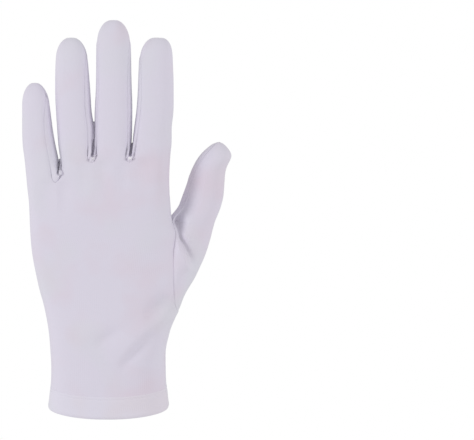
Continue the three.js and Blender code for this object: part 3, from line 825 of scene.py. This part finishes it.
thumb = {
    "inner": [(50, 21.8), (55, 19.3), (65, 17.6), (74, 18.7), (84, 21.6), (93, 25.7), (102, 30.4), (108, 34),
              (112.8, 37.5), (115.8, 39.2), (118.5, 40.3), (123, 41.6), (130, 44.1), (134, 45.6), (140, 47.5),
              (148, 51.3), (152.5, 54.6), (155.8, 58.2), (158.2, 61.5), (159.2, 64.6)],
    "outer": [(50, 34.4), (55, 37.7), (60.5, 41.3), (65, 43.4), (74, 48.3), (84, 53), (93, 57), (102, 59.9),
              (112, 62.6), (119, 65.4), (124, 66.9), (128, 67.7), (136, 68.2), (142, 68.7), (146, 70),
              (149, 71.7), (151.4, 72.4), (154.5, 70.9), (157.4, 68.4), (158.7, 66.6), (159.2, 64.8)],
    "halfDepth": [(50, 9.5), (55, 12), (65, 14.4), (74, 15), (84, 14.8), (93, 13.8), (102, 12.5), (112, 11.4),
                  (121, 10.6), (131, 10.3), (140, 10.1), (147, 9.8)],
    "middle": [(50, 4.3), (55, 5.2), (65, 6), (74, 7.1), (84, 8), (93, 8.6), (102, 9), (112, 9.5), (121, 10),
               (131, 10.3), (140, 10.7), (158, 11)],
    "rootTop": 80,  # up to here the thumb grows out of the hand's own section
    "domeStart": 147,
    "tip": 159.2,
    "round": 2.1,
    "squareness": 2.15,
    "closing": 10,  # height above the fork over which the seam leaves the hand
    "pull": 0.3,  # share of the girth that follows the hand's edge at each side of the seam
    # the inner side slants away from the fork up, less square than the rest
    "innerShoulder": [(84, 2.15), (104, 1.6), (112, 1.35), (138, 1.35), (149, 1.7), (158, 2.15)],
    "sideSeam": [(114, 30), (121, 30), (131, 31), (141, 34), (150, 40), (158, 50)],  # degrees round
    "girth": 90,
    "leastDepth": 0.05,
    "tipLift": 1.6,  # how far the tip's cloth faces up
    "footGap": 0.05,
    "rowsTurn": 84,
    "rowsApart": (1.8, 1, 1.5),  # mm from row to row up to rowsTurn, up to the fork and above it
    "aboveFork": (8, 9),  # length and count of the closer rows there
    "turns": (80, 10),  # degrees round the tip, to the last and from row to row
    "fineColumns": 0.36,  # share of the girth, seen from the back, with columns 1 mm apart
    "coarse": 2.5,  # mm apart round the rest
    "footGirth": 20,
    "footGrows": (60, 15),  # height and length over which the girth becomes the full one
    "calm": 0.06,  # share of the girth beside the seam without waviness
    "foldsPast": 0.03,  # share of the girth beside the seam without folds
    "foldsFrom": (36, 3),  # and how far to the right they start
    "weld": 0.02,
}


def thumbSection(z):
    inner, outer = curve(thumb["inner"], z), curve(thumb["outer"], z)
    above = min(1, max(0, (z - thumb["domeStart"]) / (thumb["tip"] - thumb["domeStart"])))
    halfDeep = curve(thumb["halfDepth"], z) * (1 - above ** thumb["round"]) ** (1 / thumb["round"])
    halfDeep = max(thumb["leastDepth"], halfDeep)
    return (inner + outer) / 2, (outer - inner) / 2, halfDeep, curve(thumb["middle"], z), above


def thumbSpot(angle, z):  # angle runs from the inner side over the back to the outer side at 180
    centre, halfWide, halfDeep, middle, above = thumbSection(z)
    s, c = math.sin(math.radians(angle)), math.cos(math.radians(angle))
    sharp = 2 / (curve(thumb["innerShoulder"], z) if s > 0 and c > 0 else thumb["squareness"])
    point = Vector((centre - halfWide * power(c, sharp), middle - halfDeep * power(s, sharp), z))
    across, deep = power(c, 2 - sharp) / max(halfWide, 1), power(s, 2 - sharp) / max(halfDeep, 1)
    facing = Vector((-across, -deep, 0)).normalized()
    facing.z = above ** 2 * thumb["tipLift"]
    return point, facing.normalized()


def angleOf(point, z):
    centre, halfWide, halfDeep, middle, _ = thumbSection(z)
    return math.degrees(math.atan2((middle - point.y) / halfDeep, (centre - point.x) / halfWide))


def thumbEdge(z, face):
    return handSpot(curve(thumbSeam[face], z), z, face)


# Stretched folds of the thumb from the fork down and up. wide is the half width at the fold's left and
# right, rise its height at its start, and left the share of it that is left at its end
thumbFolds = [
    {"line": [(38, 108.5), (41.1, 102), (44.7, 94), (47.8, 87), (49.5, 83)], "wide": (2, 1), "rise": 1.2,
     "left": 1},
    {"line": [(40, 100), (43, 92), (46, 84)], "wide": (4, 3), "rise": 0.6, "left": 1},
    {"line": [(36, 121), (38.4, 115), (40, 110.6), (42.6, 103.5), (46.2, 95), (49.3, 88), (51, 84)],
     "wide": (0.6, 3), "rise": -6, "left": 0.35},
    {"line": [(40, 121), (42.5, 115), (43.5, 110), (44, 107)], "wide": (3, 3), "rise": -3, "left": 0.8},
    {"line": [(40.2, 112.5), (43.6, 118), (46.8, 127), (49.4, 136), (52.4, 144), (56, 150)],
     "wide": (0.9, 2.4), "rise": -1.8, "left": 0.3},
    {"line": [(44, 107.5), (47.5, 104), (51, 102)], "wide": (1.3, 1.3), "rise": 1, "left": 1},
    {"line": [(44.5, 84), (47.5, 80), (50, 76)], "wide": (3.5, 3.5), "rise": -0.6, "left": 1},
]
foldEnds = {"start": 5, "shown": 0.2, "end": 2.5}  # how quickly a line of fold sets in and dies out


def lineFoldHeight(fold, x, z):
    best, along, width = math.inf, 0, 1
    here = Vector((x, z))
    pieces = list(zip(fold["line"], fold["line"][1:]))
    for number, (start, end) in enumerate(pieces):
        start, line = Vector(start), Vector(end) - Vector(start)
        t = min(1, max(0, (here - start).dot(line) / line.length_squared))
        away = here - start - line * t
        if away.length < best:
            best, along = away.length, (number + t) / len(pieces)
            width = fold["wide"][1 if away.x > 0 else 0]
    ends = smooth(along * foldEnds["start"] + foldEnds["shown"]) * smooth((1 - along) * foldEnds["end"])
    return fold["rise"] * blend(1, fold["left"], along) * ends * math.exp(-((best / width) ** 2))


def thumbRows():
    root, middle, free = thumb["rowsApart"]
    rows = easedSteps(thumbSeam["low"] + thumb["footGap"], *clothRows["seam"])
    rows += evenSteps(rows[-1], thumb["rowsTurn"], root)[1:]
    rows += evenSteps(rows[-1], thumbSeam["fork"] - thumbSeam["forkZone"], middle)[1:] + rowsToFork()
    rows += easedSteps(thumbSeam["fork"], *thumb["aboveFork"])[1:]
    rows += evenSteps(rows[-1], thumb["domeStart"], free)[1:]
    turns = evenSteps(0, *thumb["turns"])[1:]
    rows += domeRows(thumb["domeStart"], thumb["tip"] - thumb["domeStart"], thumb["round"], turns)
    return sorted(set(round(row, 4) for row in rows)) + [thumb["tip"]]


def thumbColumns():
    girth, fine = thumb["girth"], thumb["fineColumns"]
    edge = [step / girth for step in edgeSteps[:5]]
    columns = edge + evenSteps(edge[-1], fine, 1 / girth)[1:]
    columns += evenSteps(fine, 1 - edge[-1], thumb["coarse"] / girth)[1:-1]
    return columns + [1 - share for share in reversed(edge)]


def makeThumb():
    mesh = bmesh.new()

    def place(u, z):
        fork = thumbSeam["fork"]
        if z <= fork:
            starts, ends = thumbEdge(z, back), thumbEdge(z, palm)
            first, last = angleOf(starts[0], z), angleOf(ends[0], z)
            last += 360 if last < 90 else 0
        else:
            closed = smooth((z - fork) / thumb["closing"])
            tip = thumbEdge(fork, back)
            first = blend(angleOf(tip[0], fork), curve(thumb["sideSeam"], z), closed)
            last = first + 360
            starts = mixSpots(tip, thumbSpot(first, z), closed)
            starts[0].z = z
            ends = starts
        spot = thumbSpot(blend(first, last, u), z)
        grown = smooth((z - thumbSeam["low"]) / (thumb["rootTop"] - thumbSeam["low"]))
        if grown < 1:
            angle, face = facedAngle(blend(rightAngle(z, back), 180 - rightAngle(z, palm), u))
            spot = mixSpots(handSpot(angle, z, face), spot, grown)
        spot = movedBy(spot, starts, thumbSpot(first, z), grown * smooth(1 - u / thumb["pull"]))
        spot = movedBy(spot, ends, thumbSpot(last, z), grown * smooth(1 - (1 - u) / thumb["pull"]))
        return finish(spot, u, z)

    def finish(spot, u, z):
        girth = blend(thumb["footGirth"], thumb["girth"], over(z, *thumb["footGrows"]))
        height = sum(seamHeight(away * girth) for away in (u, 1 - u))
        height += clothHeight(spot[0], palm) * smooth(u / thumb["calm"]) * smooth((1 - u) / thumb["calm"])
        point = lifted(spot, height)
        if u < 0.5:
            folded = sum(lineFoldHeight(fold, point.x, z) for fold in thumbFolds)
            point.y -= folded * smooth(u / thumb["foldsPast"]) * over(point.x, *thumb["foldsFrom"])
        if u in (0, 1):  # the sewn edge lies under the hand's
            point -= spot[1] * seam["under"]
            point.x -= seam["overlap"] if z < thumbSeam["fork"] else 0
        return point

    rows = sheetOf(mesh, thumbColumns(), thumbRows(), place)
    setUV(mesh, {corner: (run, corner.co.z) for row in rows for corner, run in zip(row, runsOf(row))})
    bmesh.ops.remove_doubles(mesh, verts=mesh.verts, dist=thumb["weld"])
    piece = pieceFrom(mesh, "thumb_cloth", glove, clothWall)
    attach(piece, "root")
    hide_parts("thumb")


makeThumb()
print("thumb sewn in")


# Hem, the turned-up band of doubled cloth

hemBand = {
    "proud": 0.22,  # the band stands out past the cloth above it
    "thick": 2,
    "stitchRow": 11.6,  # height of the sewing that holds the turn-up
    "around": 96,
    "roundness": 5,  # steps round the folded edge
    "foldHigh": 1.1,
    "insideDown": (0, 2, 5, 8),  # rows inside, down from the top
    "insideLow": (2.4, 1.6),  # and the lowest ones, by their height
    "outside": (1.6, 2.6, 4.2, 6, 8, 9.6, 10.7, 11.2, 11.6, 12, 12.5, 12.9, 13.2),
    "lid": ((-0.25, 0.05), (-1.1, 0)),  # closes the top, out and up from it
    "groove": {"deep": 0.22, "wide": 0.45},  # pressed in by the sewing
    "edge": {"deep": 0.12, "from": 12.7, "over": 0.7},
    "flare": {"out": 0.35, "over": 6},
    "wave": {"height": 0.25, "around": 40, "up": 30, "place": 3, "over": 12},
    "weld": 0.005,
}


def hemProfile():  # how far out and how high, from the inside up over the folded edge to the top
    half = hemBand["thick"] / 2
    top = hem["height"]
    high = hemBand["foldHigh"]
    inside = [(-hemBand["thick"], top - down) for down in hemBand["insideDown"]]
    inside += [(-hemBand["thick"], z) for z in hemBand["insideLow"]]
    turns = [math.pi * (k + 0.5) / hemBand["roundness"] for k in range(hemBand["roundness"])]
    fold = [(-half - half * math.cos(turn), high - high * math.sin(turn)) for turn in turns]
    outside = [(0, z) for z in (*hemBand["outside"], top)]
    return inside + fold + outside + [(out, top + up) for out, up in hemBand["lid"]]


def hemOffset(out, height):
    if out < 0:
        return hemBand["proud"] + out
    groove, edge, flare = hemBand["groove"], hemBand["edge"], hemBand["flare"]
    pressed = groove["deep"] * math.exp(-(((height - hemBand["stitchRow"]) / groove["wide"]) ** 2))
    tucked = edge["deep"] * over(height, edge["from"], edge["over"])
    flared = flare["out"] * smooth(1 - height / flare["over"])
    return hemBand["proud"] + out - pressed - tucked + flared


def makeHem():
    mesh = bmesh.new()
    around = evenSteps(0, 360, 360 / hemBand["around"])
    look = hemBand["wave"]

    def place(turn, station):
        out, height = station
        angle, face = facedAngle(turn - 90)
        spot = handSpot(angle, height, face)
        here = Vector((turn / look["around"], height / look["up"], look["place"]))
        wave = look["height"] * noise.noise(here) * smooth(1 - height / look["over"])
        wave *= math.sin(math.radians(turn / 2)) ** 2
        point = lifted(spot, hemOffset(out, height) + wave)
        point.z = height + hemArch(point.x)
        return point

    rows = sheetOf(mesh, around, hemProfile(), place)
    heights = lengthsOf([row[0] for row in rows])
    setUV(mesh, {corner: (run, height) for row, height in zip(rows, heights)
                 for corner, run in zip(row, runsOf(row))})
    bmesh.ops.remove_doubles(mesh, verts=mesh.verts, dist=hemBand["weld"])
    piece = pieceFrom(mesh, "hem_cloth", hemCloth, 0)
    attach(piece, "root")
    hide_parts("hem")


makeHem()
print("hem turned up")


# Thread: a bar tack of a few upright stitches at the foot of two slots

thread = {
    "colour": "#fbfafc",
    "roughness": 0.45,
    "sheen": 0.4,
    "thick": 0.42,
    "apart": 0.5,
    "long": 1.6,
    "place": 0.1,  # share of the way over the web, from the seam on the back
    "facets": (10, 6),
}


def addStitch(mesh, middle):  # one stitch, a bead drawn out up the cloth
    around, up = thread["facets"]
    made = bmesh.ops.create_uvsphere(mesh, u_segments=around, v_segments=up, radius=1)
    thick, long = thread["thick"] / 2, thread["long"] / 2
    for corner in made["verts"]:
        corner.co = middle + Vector((corner.co.x * thick, corner.co.y * thick, corner.co.z * long))


def makeBarTacks():
    mesh = bmesh.new()
    for number, crotch in enumerate(crotches):
        foot, _ = stripSpot(number, 1, 0, thread["place"])
        for k in range(crotch["tack"]):
            aside = (k - (crotch["tack"] - 1) / 2) * thread["apart"]
            addStitch(mesh, foot + Vector((aside, back * thread["thick"], 0)))
    # Brighter than the knit, so the tacks show as small light specks
    piece = pieceFrom(mesh, "bar_tacks", plainMaterial("white_polyester_thread", thread), 0)
    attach(piece, "root")


makeBarTacks()
print("slots tacked")


# Plain pale floor, white light all round, a soft light from the left and a weaker one from the right

floorLook = {"colour": "#f4f4f5", "roughness": 0.9, "sheen": 0, "drop": 400, "radius": 900}


def makeFloor():
    mesh = bmesh.new()
    bmesh.ops.create_circle(mesh, cap_ends=True, segments=96, radius=floorLook["radius"])
    bmesh.ops.translate(mesh, verts=mesh.verts, vec=(0, 0, -floorLook["drop"]))
    # Matt, so it throws soft white light back up and mirrors nothing
    floor = pieceFrom(mesh, "floor", plainMaterial("white_paper", floorLook), 0, levels=0)


studio = {
    "aim": Vector((0.0, 0.0, 0.115)),
    "world": 0.655,
    "lights": [
        {"name": "key", "from": (-1.7, -1.0, 0.6), "size": 0.8, "watts": 13.3},
        {"name": "fill", "from": (1.75, -0.8, 0.6), "size": 0.8, "watts": 9.3},
    ],
}


def pointAt(thing, target):
    thing.rotation_euler = (target - thing.location).to_track_quat("-Z", "Y").to_euler()


def makeLights():
    world = bpy.data.worlds.new("white_studio")
    world.use_nodes = True
    tree = world.node_tree
    tree.nodes.clear()
    seen = addNode(tree, "ShaderNodeLightPath")
    strength = addNode(tree, "ShaderNodeMapRange", {"To Min": studio["world"], "To Max": 1.0},
                       {"Value": seen.outputs["Is Camera Ray"]})
    white = addNode(tree, "ShaderNodeBackground", {"Color": (1, 1, 1, 1)}, {"Strength": strength.outputs[0]})
    addNode(tree, "ShaderNodeOutputWorld", links={"Surface": white.outputs[0]})
    bpy.context.scene.world = world
    for look in studio["lights"]:
        data = bpy.data.lights.new(look["name"], "AREA")
        data.shape = "DISK"
        data.size = look["size"]
        data.energy = look["watts"]
        light = bpy.data.objects.new(look["name"], data)
        light.location = look["from"]
        pointAt(light, studio["aim"])
        bpy.context.collection.objects.link(light)


# Camera: 8 degrees above level, 1.2 m away, framed as the photograph is
view = {"aim": (75.5, 0, 114.6), "elevation": 8, "distance": 1200, "wide": 277.3, "sensor": 36}


def makeCamera():
    data = bpy.data.cameras.new("camera")
    data.sensor_width = view["sensor"]
    data.lens = view["sensor"] * view["distance"] / view["wide"]
    camera = bpy.data.objects.new("camera", data)
    aim = Vector(view["aim"]) * mm
    up = math.radians(view["elevation"])
    camera.location = aim + Vector((0, -math.cos(up), math.sin(up))) * view["distance"] * mm
    pointAt(camera, aim)
    bpy.context.collection.objects.link(camera)
    bpy.context.scene.camera = camera
    bpy.context.scene.view_settings.view_transform = "Standard"


makeFloor()
makeLights()
makeCamera()
print("studio set")
